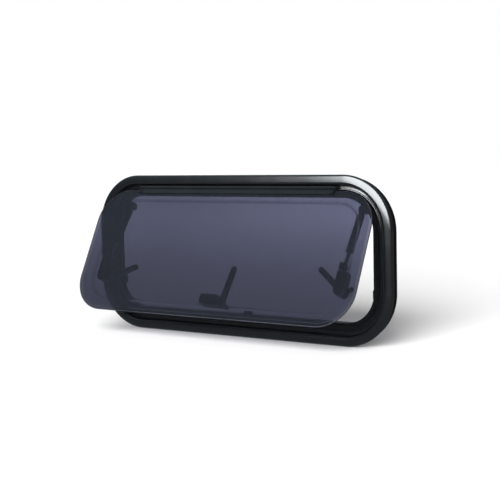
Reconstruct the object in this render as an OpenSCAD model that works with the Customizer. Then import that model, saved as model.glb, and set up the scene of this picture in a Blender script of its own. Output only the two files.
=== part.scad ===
// Top-hung caravan window: crowned aluminium frame, double acrylic sash,
// two telescopic stays and three lever latches, shown with the sash open.
// Axes: X along the window, -Y outside, +Y inside, +Z up.
// Origin: on the flange's flat rear face, at the middle of its lower strip.

/* [Frame] */
// Width over the outer flange
frame_w = 740; // [560:1:1000]
// Height over the outer flange
frame_h = 340; // [310:1:420]
// Outer corner radius of the flange
frame_r = 110; // [95:1:130]
// Width of the crowned flange that covers the wall's edge
flange_w = 20; // [17:0.5:21]
// Height of the crown above the wall's outer face
crown_h = 9.5; // [8.5:0.5:11]
// Thickness of the flange at its outer edge
flange_edge_t = 1.8; // [1.2:0.1:3]
// Wall thickness of the extrusion
frame_t = 1.6; // [1.4:0.1:2]
// Width from the flange's outer edge to the clear opening
rim_w = 46.5; // [45:0.5:50]
// Depth of the seal recess's floor behind the wall's outer face
recess_depth = 4; // [3.5:0.5:6]
// How far the extrusion's inner wall reaches into the wall
inner_wall_depth = 12; // [10:0.5:13]
// Distance of the recess's rib from the flange's outer edge
rib_at = 29.5; // [29.2:0.1:31]
// Width of the rib
rib_w = 4; // [3:0.1:4.2]
// Height of the rib above the recess's floor
rib_h = 2.5; // [1:0.1:2.8]

/* [Wall and inner frame] */
// Thickness of the wall that the window is clamped in
wall_t = 19; // [18:0.5:30]
// Thickness of the inner clamp frame's flange
clamp_t = 2.5; // [2:0.1:4]
// Width of the inner clamp frame's flange
clamp_w = 42; // [36:1:46]

/* [Seal] */
// Width of the frame seal's foot
seal_w = 9; // [7:0.5:10]
// Gap between the seal's lip and the closed sash
seal_gap = 1; // [0.5:0.1:1.4]

/* [Sash] */
// Angle at which the sash stands open
open_angle = 27.2; // [5:0.1:40]
// Height of the hinge axis in front of the wall's outer face
hinge_out = 7; // [6.5:0.1:8]
// Distance of the hinge axis below the frame's top edge
hinge_drop = 26.1; // [26:0.1:27]
// Distance of the outer pane's sides from the flange's outer edge
pane_side = 25.8; // [25.5:0.1:29]
// Corner radius of the outer pane
pane_r = 75; // [70:0.5:85]
// Gap below the closed pane, from the flange's lower edge
pane_bottom = 28.6; // [26:0.1:32]
// Distance of the pane's upper edge below the hinge axis
pane_top = 6; // [5:0.1:8]
// Thickness of the outer pane
pane_t = 3.5; // [3:0.1:4]
// Thickness of the inner, formed pane
tray_t = 2; // [1.5:0.1:2.5]
// Depth of the sash, from the outer face to the tray's inner face
sash_depth = 12; // [10:0.5:12.5]
// Clearance between the tray's side and the clear opening
tray_gap = 5.2; // [5:0.1:8]
// Distance of the tray's flange inside the outer pane's edge
tray_inset = 8; // [5:0.5:10]

/* [Hinge] */
// Distance of the hinge rails' ends from the flange's outer edge
hinge_end = 123; // [118:1:180]
// Diameter of the rounded bead that the sash turns on
bead_d = 5; // [4:0.1:5.2]
// Clearance between the bead and its socket
bead_gap = 0.3; // [0.2:0.05:0.5]
// Wall thickness of the socket
socket_t = 1.4; // [1:0.1:1.6]
// Thickness of the sash rail's legs
rail_t = 1.3; // [1:0.1:1.5]
// Length of an end cap
cap_len = 9; // [6:0.5:12]

/* [Stays] */
// Distance of the stays inside the opening's lining, at the frame pins' height
stay_inset = 15.1; // [14.5:0.1:60]
// Depth of the frame pin behind the wall's outer face
stay_pin_in = 20; // [17.5:0.5:21]
// Distance of the frame pin below the hinge axis
stay_pin_drop = 44.9; // [44.5:0.1:60]
// Distance of the sash pin above the side latches' pins
shoe_above_latch = 48; // [47:0.5:60]
// Height of the sash pin above the sash's outer face, inwards
shoe_in = 23; // [20.5:0.5:24]
// Diameter of the stay's tube
tube_d = 12; // [10:0.5:13]
// Length of the rod that shows between the sash pin and the tube, at rest
rod_shown = 34.3; // [30:0.1:50]
// Diameter of the stay's rod
rod_d = 7.6; // [6:0.1:8]
// Diameter of the pins that the stays turn on
pin_d = 5; // [4:0.5:6]
// Play all round the frame pin in the tube's eye
eye_slack = 3.8; // [3.6:0.1:4.2]
// Place of the eye's middle off the pin at rest, across the stay
eye_off_across = 2.9; // [0:0.1:3.2]
// Place of the eye's middle off the pin at rest, along the stay
eye_off_along = 1.1; // [0:0.1:2]
// Wall of the tube's eye
eye_wall = 2; // [1.8:0.1:2.5]
// Thickness of the eyes
eye_t = 6; // [4:0.5:7]
// Running clearance beside the eyes and inside the tube
stay_gap = 0.5; // [0.3:0.1:0.8]

/* [Latches] */
// Place of the middle latch's pin, right of the window's middle
latch_mid_x = 22; // [-100:1:100]
// Distance of each latch pin inside the clear opening's edge
latch_inset = 25.5; // [25:0.5:28]
// Height of the side latches' pins above the upper ends of the opening's lower corners
latch_above_corner = -1.1; // [-3:0.1:4]
// Length of the lever, from its pin to its tip
lever_len = 82; // [60:1:90]
// Width of the lever at its hub
lever_w = 14; // [12:0.5:16]
// Thickness of the lever
lever_t = 7; // [5:0.5:9]
// Diameter of the latch's hub
hub_d = 20; // [18:0.5:22]
// Height of the latch's base above the tray
base_h = 21; // [20.5:0.5:24]
// Length of the base beyond the pin
base_len = 39.5; // [30:0.5:42]
// Width of the base
base_w = 21; // [18:0.5:22]
// Reach of the latch tongue from the pin
tongue_reach = 22; // [20:0.5:23]
// Angle between the lever and the tongue
tongue_angle = 110; // [90:1:120]
// Turn of the middle latch from locked, as shown
mid_turn = 63; // [40:1:75]
// Turn of the left latch from locked, as shown
left_turn = 46; // [33:1:75]
// Turn of the right latch from locked, as shown
right_turn = 33; // [30:1:75]
// How far a keeper stands out from the clear opening's edge
keeper_out = 8; // [6:0.5:8]
// Length of a keeper
keeper_len = 18; // [14:1:22]

/* [Hidden] */
$fn = 64;

// Half sizes and places that follow from the sizes above, seen from the frame's middle
mid_z = frame_h / 2 - flange_w / 2;
open_w = frame_w - 2 * rim_w;
open_h = frame_h - 2 * rim_w;
open_r = frame_r - rim_w;
axis_up = frame_h / 2 - hinge_drop;
hinge_len = frame_w - 2 * hinge_end;
pane_w = frame_w - 2 * pane_side;
pin_up = max(0, axis_up - stay_pin_drop - open_h / 2 + open_r);
stay_x = open_w / 2 - open_r + sqrt(open_r * open_r - pin_up * pin_up) - stay_inset;
latch_side_drop = axis_up + open_h / 2 - open_r - latch_above_corner;
shoe_drop = latch_side_drop - shoe_above_latch;
pane_h = axis_up - pane_top + frame_h / 2 - pane_bottom;
tray_w = open_w - 2 * tray_gap;
tray_top = axis_up - open_h / 2 + tray_gap;
tray_bottom = axis_up + open_h / 2 - tray_gap;
tray_h = tray_bottom - tray_top;
tray_r = open_r - tray_gap;
tray_draft = 3;
tray_lap = 6;
flange_face = pane_t + tray_t;
socket_r = bead_d / 2 + bead_gap + socket_t;
back_face = wall_t + clamp_t;
eye_r = pin_d / 2 + eye_slack + eye_wall;
shoe_eye_r = pin_d / 2 + 3;
latch_face = sash_depth + base_h;
lever_gap = 0.5;
leg_gap = 0.3;
lining_gap = 0.2;
collar_lap = 0.6;

// Stay geometry in the plane across the hinge, at rest: first inwards, then upwards
pin_frame = [stay_pin_in, axis_up - stay_pin_drop];
pin_sash = [
    -hinge_out - shoe_drop * sin(open_angle) + shoe_in * cos(open_angle),
    axis_up - shoe_drop * cos(open_angle) - shoe_in * sin(open_angle)
];
pin_run = pin_frame - pin_sash;
stay_len = norm(pin_run) + eye_off_along;
stay_tilt = atan2(-pin_run[0], pin_run[1]) + atan2(eye_off_across, stay_len);
tube_len = stay_len - rod_shown;
boss_r = eye_r + 0.7;
tang_len = boss_r + eye_slack + 1;
rod_in_tube = 40;

// Coordinates of the closed window seen from outside: x, y up, z outwards
module from_outside() {
    translate([0, 0, mid_z])
        rotate([90, 0, 0])
            children();
}

// Coordinates of the sash: origin on the hinge axis, y up along the pane, z outwards
module on_sash() {
    translate([0, -hinge_out, mid_z + axis_up])
        rotate([90 - open_angle, 0, 0])
            children();
}

// Coordinates on the sash's inner face: x and y as on the sash, z inwards
module on_tray(x, drop) {
    on_sash()
        translate([x, -drop, -sash_depth])
            mirror([0, 0, 1])
                children();
}

// Rectangle with round corners
module round_rect(w, h, r) {
    square([w - 2 * r, h], center = true);
    square([w, h - 2 * r], center = true);
    for (x = [-1, 1])
        for (y = [-1, 1])
            translate([x * (w / 2 - r), y * (h / 2 - r)])
                circle(r = r, $fn = 96);
}

// Straight upper and lower bars of a rounded rectangle: section x runs inwards from the outline
module sweep_bars(w, h, r) {
    for (turn = [90, 270])
        rotate([0, 0, turn])
            translate([-h / 2, 0, 0])
                rotate([90, 0, 0])
                    linear_extrude(height = w - 2 * r, center = true)
                        children();
}

// One end of a rounded rectangle: the side with its two bent corners
module sweep_end(w, h, r, side) {
    rotate([0, 0, side > 0 ? 180 : 0])
        translate([-w / 2, 0, 0])
            rotate([90, 0, 0])
                linear_extrude(height = h - 2 * r, center = true)
                    children();
    for (up = [-1, 1])
        translate([side * (w / 2 - r), up * (h / 2 - r), 0])
            rotate([0, 0, side > 0 ? min(up, 0) * 90 : 135 - 45 * up])
                rotate_extrude(angle = 90, $fn = 96)
                    translate([r, 0])
                        mirror([1, 0])
                            children();
}

module sweep_ring(w, h, r) {
    sweep_bars(w, h, r)
        children();
    for (side = [-1, 1])
        sweep_end(w, h, r, side)
            children();
}

// Section of the frame's extrusion: x inwards from the edge, y outwards from the wall
function crown_point(t) = [
    (flange_w + frame_t) * t,
    flange_edge_t + (crown_h - flange_edge_t) * pow(sin(177 * pow(t, 0.8)), 0.75)
];

module crown_section() {
    crown = [for (i = [0 : 12]) crown_point(i / 12)];
    polygon(concat([[0, 0]], crown, [[flange_w + frame_t, collar_lap], [flange_w, collar_lap], [flange_w, 0]]));
}

// Collar behind the crown: a wall in the cut-out, the recess's ribbed floor and the lining
module collar_section() {
    floor_y = -recess_depth;
    rib_0 = rib_at - rib_w / 2;
    rib_1 = rib_at + rib_w / 2;
    polygon([
        [flange_w, collar_lap],
        [flange_w + frame_t, collar_lap],
        [flange_w + frame_t, floor_y],
        [rib_0, floor_y],
        [rib_0 + 0.4, floor_y + rib_h - 0.8],
        [rib_0 + 1.2, floor_y + rib_h],
        [rib_1 - 1.2, floor_y + rib_h],
        [rib_1 - 0.4, floor_y + rib_h - 0.8],
        [rib_1, floor_y],
        [rim_w - frame_t, floor_y],
        [rim_w - frame_t, floor_y + 1],
        [rim_w, floor_y + 1],
        [rim_w, -inner_wall_depth],
        [rim_w - frame_t, -inner_wall_depth],
        [rim_w - frame_t, floor_y - frame_t],
        [flange_w + frame_t, floor_y - frame_t],
        [flange_w + frame_t, -inner_wall_depth],
        [flange_w, -inner_wall_depth]
    ]);
}

module outer_frame() {
    color("#1b1d20")
        from_outside()
            sweep_ring(frame_w, frame_h, frame_r)
                crown_section();
}

module collar_bars() {
    color("#1b1d20")
        from_outside()
            sweep_bars(frame_w, frame_h, frame_r)
                collar_section();
}

module collar_end(side) {
    color("#1b1d20")
        from_outside()
            sweep_end(frame_w, frame_h, frame_r, side)
                collar_section();
}

// Section of the seal: a foot on the recess's floor and a rounded lip
seal_at = rim_w - frame_t - lining_gap - seal_w;
seal_top = hinge_out - flange_face - seal_gap;

module frame_seal() {
    lip_r = 2;
    color("#101113")
        from_outside()
            sweep_ring(frame_w, frame_h, frame_r)
                translate([seal_at, 0]) {
                    translate([0, -recess_depth])
                        square([seal_w, 1.4]);
                    translate([seal_w / 2 - lip_r, -recess_depth])
                        square([2 * lip_r, seal_top + recess_depth - lip_r]);
                    translate([seal_w / 2, seal_top - lip_r])
                        circle(r = lip_r, $fn = 24);
                }
}

// Socket of the hinge: a round channel open downwards and outwards, on a web on the recess's floor
module hinge_socket_rail() {
    inner_r = bead_d / 2 + bead_gap;
    color("#202225")
        from_outside()
            translate([0, axis_up, 0])
                rotate([90, 0, 90])
                    linear_extrude(height = hinge_len, center = true)
                        difference() {
                            union() {
                                translate([0, hinge_out])
                                    circle(r = socket_r, $fn = 48);
                                translate([socket_r - 1.6, -recess_depth])
                                    square([1.6, recess_depth + hinge_out]);
                                translate([-1, -recess_depth])
                                    square([socket_r + 1, 1.4]);
                            }
                            translate([0, hinge_out]) {
                                circle(r = inner_r, $fn = 48);
                                polygon([[0, 0], [-12, -6.5], [-12, 16], [-1.5, 12]]);
                            }
                        }
}

// Clamp frame on the wall's inner face, with a lining that meets the collar inside the wall
module clamp_section() {
    polygon([
        [rim_w - clamp_w, -wall_t],
        [rim_w - frame_t, -wall_t],
        [rim_w - frame_t, -back_face],
        [rim_w - clamp_w + 1, -back_face],
        [rim_w - clamp_w, -back_face + 1]
    ]);
}

module clamp_bars() {
    color("#25272a")
        from_outside()
            sweep_bars(frame_w, frame_h, frame_r)
                clamp_section();
}

module clamp_end(side) {
    color("#25272a")
        from_outside()
            sweep_end(frame_w, frame_h, frame_r, side)
                clamp_section();
}

module lining_section() {
    translate([rim_w - frame_t, -back_face])
        square([frame_t, back_face - inner_wall_depth - leg_gap]);
}

module lining_bars() {
    color("#25272a")
        from_outside()
            sweep_bars(frame_w, frame_h, frame_r)
                lining_section();
}

module lining_end(side) {
    color("#25272a")
        from_outside()
            sweep_end(frame_w, frame_h, frame_r, side)
                lining_section();
}

// The clear opening as a block, from the wall's outer face inwards
module opening_block(inset) {
    translate([0, 0, -back_face - 20])
        linear_extrude(height = back_face + 20)
            round_rect(open_w - 2 * inset, open_h - 2 * inset, open_r - inset);
}

// Keeper: a block on the clamp frame's lining that the latch tongue closes behind.
// Local x runs along the opening's edge and y into the opening, z inwards.
module keeper_body() {
    keeper_h = back_face - inner_wall_depth - leg_gap;
    lip_h = keeper_h - 1.5;
    translate([-keeper_len / 2, 0, 0])
        cube([keeper_len, 4, keeper_h]);
    translate([-keeper_len / 2, 0, keeper_h - lip_h])
        cube([keeper_len, keeper_out, lip_h]);
}

module keeper_at(x, y, turn) {
    color("#202225")
        from_outside()
            intersection() {
                opening_block(lining_gap);
                translate([x, y, -inner_wall_depth - leg_gap])
                    rotate([0, 0, turn])
                        mirror([0, 0, 1])
                            keeper_body();
            }
}

module keeper_side(side) {
    keeper_drop = latch_side_drop + keeper_len / 2 - 4;
    keeper_at(side * open_w / 2, axis_up - keeper_drop, side * 90);
}

module keeper_centre() {
    keeper_at(latch_mid_x - keeper_len / 2 + 4, -open_h / 2, 0);
}

// Frame bracket of a stay: a foot that follows the opening's corner, and a boss
eye_x = stay_x + eye_t / 2 + stay_gap;
head_x = stay_x - eye_t / 2 - stay_gap;

module stay_bracket(side) {
    foot_t = 3;
    foot_h = 34;
    foot_w = 40;
    color("#1c1e20")
        from_outside() {
            intersection() {
                difference() {
                    opening_block(lining_gap);
                    translate([0, 0, 1])
                        opening_block(foot_t);
                    translate([0, 0, -back_face])
                        opening_block(foot_t);
                }
                translate([side > 0 ? eye_x : -eye_x - foot_w, pin_frame[1] - foot_h / 2, -back_face])
                    cube([foot_w, foot_h, back_face - inner_wall_depth - leg_gap]);
            }
            intersection() {
                opening_block(lining_gap);
                translate([side * eye_x, pin_frame[1], -pin_frame[0]])
                    rotate([0, side * 90, 0])
                        cylinder(r = boss_r, h = foot_w);
            }
        }
}

// Headed pin that stands on the bracket's boss and carries the stay's eye
module stay_pin(side) {
    head_t = 4;
    color("#3a3c3f")
        from_outside()
            translate([side * eye_x, pin_frame[1], -pin_frame[0]])
                rotate([0, -side * 90, 0]) {
                    cylinder(d = pin_d, h = eye_x - head_x + 1);
                    translate([0, 0, eye_x - head_x])
                        cylinder(r = boss_r, h = head_t);
                }
}

module outer_pane() {
    color([0.22, 0.23, 0.33, 0.6])
        on_sash()
            translate([0, -pane_top - pane_h / 2, -pane_t])
                linear_extrude(height = pane_t)
                    round_rect(pane_w, pane_h, pane_r);
}

// Formed inner pane: a flange bonded to the outer pane, a drawn wall and a flat floor
module inner_pane() {
    flange_w0 = pane_w - 2 * tray_inset;
    flange_h0 = pane_h - 2 * tray_inset;
    tray_mid = -(tray_top + tray_bottom) / 2;
    floor_inset = tray_draft + tray_t;
    color([0.25, 0.26, 0.36, 0.55])
        on_sash() {
            difference() {
                translate([0, -pane_top - pane_h / 2, -flange_face])
                    linear_extrude(height = tray_t)
                        round_rect(flange_w0, flange_h0, pane_r - tray_inset);
                translate([0, tray_mid, -flange_face - 1])
                    linear_extrude(height = tray_t + 2)
                        round_rect(tray_w - 2 * tray_t, tray_h - 2 * tray_t, tray_r - tray_t);
            }
            translate([0, tray_mid, 0])
                sweep_ring(tray_w, tray_h, tray_r)
                    polygon([
                        [0, -flange_face],
                        [tray_t, -pane_t - 0.4],
                        [floor_inset, -sash_depth + tray_t],
                        [floor_inset + tray_lap, -sash_depth + tray_t],
                        [floor_inset + tray_lap, -sash_depth],
                        [tray_draft, -sash_depth]
                    ]);
            translate([0, tray_mid, -sash_depth])
                linear_extrude(height = tray_t)
                    round_rect(
                        tray_w - 2 * (floor_inset + tray_lap),
                        tray_h - 2 * (floor_inset + tray_lap),
                        tray_r - floor_inset - tray_lap
                    );
        }
}

// Sash rail: the round bead, its neck and a channel over the pane's upper edge
module sash_hinge_rail() {
    grip = 8;
    pane_gap = 0.2;
    back_x = -pane_top + pane_gap;
    color("#2a2c30")
        on_sash()
            rotate([90, 0, 90])
                linear_extrude(height = hinge_len - 2 * cap_len, center = true) {
                    circle(d = bead_d, $fn = 32);
                    translate([back_x, -0.9])
                        square([-back_x, 1.8]);
                    translate([back_x, -pane_t - pane_gap - rail_t])
                        square([rail_t, pane_t + 2 * pane_gap + 2 * rail_t]);
                    translate([back_x - grip, pane_gap])
                        square([grip + rail_t, rail_t]);
                    translate([back_x - grip / 2, -pane_t - pane_gap - rail_t])
                        square([grip / 2 + rail_t, rail_t]);
                }
}

module hinge_end_cap(side) {
    color("#141517")
        on_sash()
            translate([side * (hinge_len - cap_len) / 2, 0, 0])
                rotate([90, 0, 90])
                    linear_extrude(height = cap_len - 0.6, center = true) {
                        circle(d = bead_d, $fn = 32);
                        translate([-pane_top + 0.3, -0.9])
                            square([pane_top - 0.3, 1.8]);
                        translate([-pane_top - 7, 0.3])
                            square([9, 2]);
                    }
}

// Shoe of a stay on the sash: a foot, two cheeks and a pin
module stay_shoe(side) {
    cheek_t = 3;
    pin_h = shoe_in - sash_depth;
    gap_x = eye_t / 2 + stay_gap;
    color("#1c1e20")
        on_tray(side * stay_x, shoe_drop) {
            translate([-gap_x - cheek_t, -7, 0])
                cube([2 * (gap_x + cheek_t), 14, 2]);
            for (x = [-gap_x - cheek_t, gap_x])
                translate([x, 0, 0]) {
                    translate([0, -shoe_eye_r, 0])
                        cube([cheek_t, 2 * shoe_eye_r, pin_h]);
                    translate([0, 0, pin_h])
                        rotate([0, 90, 0])
                            cylinder(r = shoe_eye_r, h = cheek_t);
                }
            translate([-gap_x - cheek_t - 1, 0, pin_h])
                rotate([0, 90, 0])
                    cylinder(d = pin_d, h = 2 * (gap_x + cheek_t + 1));
        }
}

// Coordinates of a stay: origin on the sash pin, z along the stay to the frame pin
module on_stay(side) {
    translate([side * stay_x, pin_sash[0], mid_z + pin_sash[1]])
        rotate([stay_tilt, 0, 0])
            children();
}

module stay_rod(side) {
    rod_end = stay_len - tube_len + rod_in_tube;
    color("#8d9094")
        on_stay(side)
            difference() {
                union() {
                    translate([-eye_t / 2, 0, 0])
                        rotate([0, 90, 0])
                            cylinder(r = shoe_eye_r, h = eye_t);
                    translate([-eye_t / 2, -rod_d / 2 + 0.6, 0])
                        cube([eye_t, rod_d - 1.2, shoe_eye_r + 4]);
                    translate([0, 0, shoe_eye_r + 1.5])
                        cylinder(d = rod_d, h = rod_end - shoe_eye_r - 1.5);
                }
                translate([-eye_t, 0, 0])
                    rotate([0, 90, 0])
                        cylinder(d = pin_d + 0.4, h = 2 * eye_t);
            }
}

module stay_tube(side) {
    bore_depth = tube_len - tang_len - 3;
    color("#1a1b1d")
        on_stay(side)
            translate([0, 0, rod_shown])
                difference() {
                    cylinder(d = tube_d, h = tube_len - tang_len);
                    translate([0, 0, -1])
                        cylinder(d = rod_d + 2 * stay_gap, h = bore_depth + 1);
                }
}

// End fitting of the tube: a flat tang and an eye round the frame pin
module stay_eye(side) {
    color("#1a1b1d")
        on_stay(side)
            translate([-eye_t / 2, 0, stay_len])
                difference() {
                    union() {
                        translate([0, -tube_d / 2 + 1, -tang_len])
                            cube([eye_t, tube_d - 2, tang_len]);
                        rotate([0, 90, 0])
                            cylinder(r = eye_r, h = eye_t);
                    }
                    translate([-1, 0, 0])
                        rotate([0, 90, 0])
                            cylinder(d = pin_d + 2 * eye_slack, h = eye_t + 2);
                }
}

// Latch base: a long rounded block, the pin at one end; local x runs away from the pin
module latch_base_body() {
    end_r = base_w / 2;
    linear_extrude(height = base_h) {
        circle(r = end_r);
        translate([0, -end_r])
            square([base_len - 6, base_w]);
        translate([base_len - 6, -end_r + 6])
            square([6, base_w - 12]);
        for (y = [-end_r + 6, end_r - 6])
            translate([base_len - 6, y])
                circle(r = 6);
    }
    translate([0, 0, base_h])
        cylinder(d = 8, h = lever_gap + lever_t - 1);
}

// Latch lever: a hub with a bore, a tapered handle and the tongue; local x runs along the lever
module latch_lever_body(hand) {
    tip_r = 5;
    difference() {
        union() {
            linear_extrude(height = lever_t) {
                circle(d = hub_d);
                polygon([
                    [0, -lever_w / 2], [lever_len - tip_r, -tip_r],
                    [lever_len - tip_r, tip_r], [0, lever_w / 2]
                ]);
                translate([lever_len - tip_r, 0])
                    circle(r = tip_r);
            }
            rotate([0, 0, -hand * tongue_angle])
                translate([0, -4, 0])
                    cube([tongue_reach, 8, 6]);
        }
        translate([0, 0, -1])
            cylinder(d = 8.4, h = lever_t);
    }
}

module latch_base_side(side) {
    color("#16171a")
        on_tray(side * (open_w / 2 - latch_inset), latch_side_drop)
            rotate([0, 0, 90])
                latch_base_body();
}

module latch_base_centre() {
    color("#16171a")
        on_tray(latch_mid_x, axis_up + open_h / 2 - latch_inset)
            rotate([0, 0, 180])
                latch_base_body();
}

// Turn of a lever, anticlockwise from the x axis as seen from outside
module latch_lever_at(x, drop, turn, hand) {
    color("#121315")
        on_tray(x, drop)
            translate([0, 0, base_h + lever_gap])
                rotate([0, 0, turn])
                    latch_lever_body(hand);
}

module latch_lever_right() {
    latch_lever_at(open_w / 2 - latch_inset, latch_side_drop, tongue_angle + right_turn, 1);
}

module latch_lever_left() {
    latch_lever_at(-open_w / 2 + latch_inset, latch_side_drop, 180 - tongue_angle - left_turn, -1);
}

module latch_lever_centre() {
    latch_lever_at(latch_mid_x, axis_up + open_h / 2 - latch_inset, tongue_angle - 90 + mid_turn, 1);
}

outer_frame();
collar_bars();
collar_end(-1);  // collar_end_left
collar_end(1);  // collar_end_right
frame_seal();
hinge_socket_rail();
clamp_bars();
clamp_end(-1);  // clamp_end_left
clamp_end(1);  // clamp_end_right
lining_bars();
lining_end(-1);  // lining_end_left
lining_end(1);  // lining_end_right
keeper_side(-1);  // keeper_left
keeper_centre();
keeper_side(1);  // keeper_right
stay_bracket(-1);  // stay_bracket_left
stay_bracket(1);  // stay_bracket_right
stay_pin(-1);  // stay_pin_left
stay_pin(1);  // stay_pin_right
outer_pane();
inner_pane();
sash_hinge_rail();
hinge_end_cap(-1);  // hinge_end_cap_left
hinge_end_cap(1);  // hinge_end_cap_right
stay_shoe(-1);  // stay_shoe_left
stay_shoe(1);  // stay_shoe_right
latch_base_side(-1);  // latch_base_left
latch_base_centre();
latch_base_side(1);  // latch_base_right
stay_tube(-1);  // stay_tube_left
stay_tube(1);  // stay_tube_right
stay_eye(-1);  // stay_eye_left
stay_eye(1);  // stay_eye_right
stay_rod(-1);  // stay_rod_left
stay_rod(1);  // stay_rod_right
latch_lever_left();
latch_lever_centre();
latch_lever_right();
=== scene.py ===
# Caravan window: crowned black frame, smoked acrylic sash propped open on two stays
import math

import bmesh
import bpy
from mathutils import Matrix, Vector


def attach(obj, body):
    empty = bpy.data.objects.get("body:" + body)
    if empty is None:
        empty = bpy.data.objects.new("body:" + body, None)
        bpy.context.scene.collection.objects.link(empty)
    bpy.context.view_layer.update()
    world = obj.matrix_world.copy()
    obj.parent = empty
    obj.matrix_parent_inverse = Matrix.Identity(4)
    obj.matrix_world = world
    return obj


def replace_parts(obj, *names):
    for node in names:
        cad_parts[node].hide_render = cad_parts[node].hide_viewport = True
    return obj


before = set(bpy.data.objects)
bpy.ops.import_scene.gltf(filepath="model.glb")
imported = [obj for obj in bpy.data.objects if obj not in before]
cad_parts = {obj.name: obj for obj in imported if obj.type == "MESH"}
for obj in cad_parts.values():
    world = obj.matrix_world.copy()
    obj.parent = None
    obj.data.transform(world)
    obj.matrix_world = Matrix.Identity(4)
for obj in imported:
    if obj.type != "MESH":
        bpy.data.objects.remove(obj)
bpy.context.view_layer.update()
millimetre = 0.001  # lengths are in millimetres until a mesh is placed


def linearColour(hexText):
    channels = [int(hexText[i:i + 2], 16) / 255 for i in (1, 3, 5)]
    return [c / 12.92 if c <= 0.04045 else ((c + 0.055) / 1.055) ** 2.4 for c in channels] + [1.0]


def addNode(tree, kind, settings=None, links=None):
    node = tree.nodes.new(kind)
    for name, value in (settings or {}).items():
        if isinstance(name, int) or name in node.inputs:
            node.inputs[name].default_value = value
        else:
            setattr(node, name, value)
    for name, source in (links or {}).items():
        tree.links.new(source, node.inputs[name])
    return node


def startMaterial(name, **settings):
    material = bpy.data.materials.new(name)
    material.use_nodes = True
    tree = material.node_tree
    shader = tree.nodes["Principled BSDF"]
    for socket, value in settings.items():
        shader.inputs[socket.replace("_", " ")].default_value = value
    return material, tree, shader


def placeMesh(name, shape, finish, body, matrix, sharpAngle=35):
    # shape is (points, faces), finish is (material, slot name)
    points, faces = shape
    material, slotName = finish
    mesh = bpy.data.meshes.new(name)
    mesh.from_pydata([Vector(p) * millimetre for p in points], [], faces)
    work = bmesh.new()
    work.from_mesh(mesh)
    bmesh.ops.remove_doubles(work, verts=work.verts, dist=1e-6)
    bmesh.ops.recalc_face_normals(work, faces=work.faces)
    work.to_mesh(mesh)
    work.free()
    mesh.transform(matrix)
    if matrix.determinant() < 0:
        mesh.flip_normals()
    mesh.polygons.foreach_set("use_smooth", [True] * len(mesh.polygons))
    mesh.set_sharp_from_angle(angle=math.radians(sharpAngle))
    mesh.materials.append(material)
    piece = bpy.data.objects.new(name, mesh)
    bpy.context.scene.collection.objects.link(piece)
    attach(piece, body)
    return piece


def softenEdges(piece, width, segments=3):
    bevel = piece.modifiers.new("edgeRadius", "BEVEL")
    bevel.width = width * millimetre
    bevel.segments = segments
    bevel.limit_method = "ANGLE"
    bevel.angle_limit = math.radians(38)  # true edges only, not the facets of round walls
    bevel.harden_normals = True
    return piece


def applyModifier(piece, modifier):
    with bpy.context.temp_override(object=piece, active_object=piece):
        bpy.ops.object.modifier_apply(modifier=modifier.name)


def joinPieces(name, pieces):
    for piece in pieces:
        for modifier in list(piece.modifiers):
            applyModifier(piece, modifier)
    with bpy.context.temp_override(active_object=pieces[0], selected_editable_objects=pieces):
        bpy.ops.object.join()
    pieces[0].name = name
    return pieces[0]


def evenShading(piece):
    # the broad faces rule the normals, so that a sheet's two sides stay parallel for light
    weigh = piece.modifiers.new("weigh", "WEIGHTED_NORMAL")
    weigh.keep_sharp = True
    applyModifier(piece, weigh)


def roundedRing(width, height, radius, middle, depth, steps):
    # points of a rounded rectangle, anticlockwise from the right-hand side
    points = []
    for quarter, (sx, sy) in enumerate(((1, 1), (-1, 1), (-1, -1), (1, -1))):
        for step in range(steps + 1):
            turn = math.radians(90 * quarter + 90 * step / steps)
            points.append((
                sx * (width / 2 - radius) + radius * math.cos(turn),
                middle + sy * (height / 2 - radius) + radius * math.sin(turn),
                depth,
            ))
    return points


def loftRings(rings, steps, closed=False, capStart=False, capEnd=False):
    # rings are (width, height, radius, middle, depth), joined one to the next
    count = 4 * (steps + 1)
    points = [p for ring in rings for p in roundedRing(*ring, steps)]
    faces = []
    for r in range(len(rings) if closed else len(rings) - 1):
        a, b = r * count, (r + 1) % len(rings) * count
        for i in range(count):
            j = (i + 1) % count
            faces.append((a + i, a + j, b + j, b + i))
    if capStart:
        faces.append(tuple(range(count)))
    if capEnd:
        faces.append(tuple(range(len(points) - count, len(points))))
    return points, faces


def insetRings(width, height, radius, section, middle=0):
    return [(width - 2 * u, height - 2 * u, radius - u, middle, v) for u, v in section]


def filletOutline(corners, steps=6):
    # corners are (x, y, radius); every corner with a radius becomes an arc
    outline = []
    for i, (x, y, radius) in enumerate(corners):
        here = Vector((x, y))
        if radius <= 0:
            outline.append((x, y))
            continue
        before = (Vector(corners[i - 1][:2]) - here).normalized()
        after = (Vector(corners[(i + 1) % len(corners)][:2]) - here).normalized()
        half = before.angle(after) / 2
        centre = here + (before + after).normalized() * (radius / math.sin(half))
        start = here + before * (radius / math.tan(half)) - centre
        sweep = start.angle_signed(here + after * (radius / math.tan(half)) - centre)
        for k in range(steps + 1):
            turned = Matrix.Rotation(-sweep * k / steps, 2) @ start
            outline.append(tuple(centre + turned))
    return outline


def tabOutline(half, low, high, radius):
    # a strip whose two far corners are rounded
    return filletOutline([(-half, low, 0), (half, low, 0), (half, high, radius), (-half, high, radius)])


def arcPoints(radius, start, end, count, x=0, y=0):
    turns = [math.radians(start + (end - start) * k / count) for k in range(count + 1)]
    return [(x + radius * math.cos(t), y + radius * math.sin(t)) for t in turns]


def extrudeOutline(outline, low, high):
    count = len(outline)
    points = [(x, y, low) for x, y in outline] + [(x, y, high) for x, y in outline]
    faces = [tuple(reversed(range(count))), tuple(range(count, 2 * count))]
    faces += [(i, (i + 1) % count, count + (i + 1) % count, count + i) for i in range(count)]
    return points, faces


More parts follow.
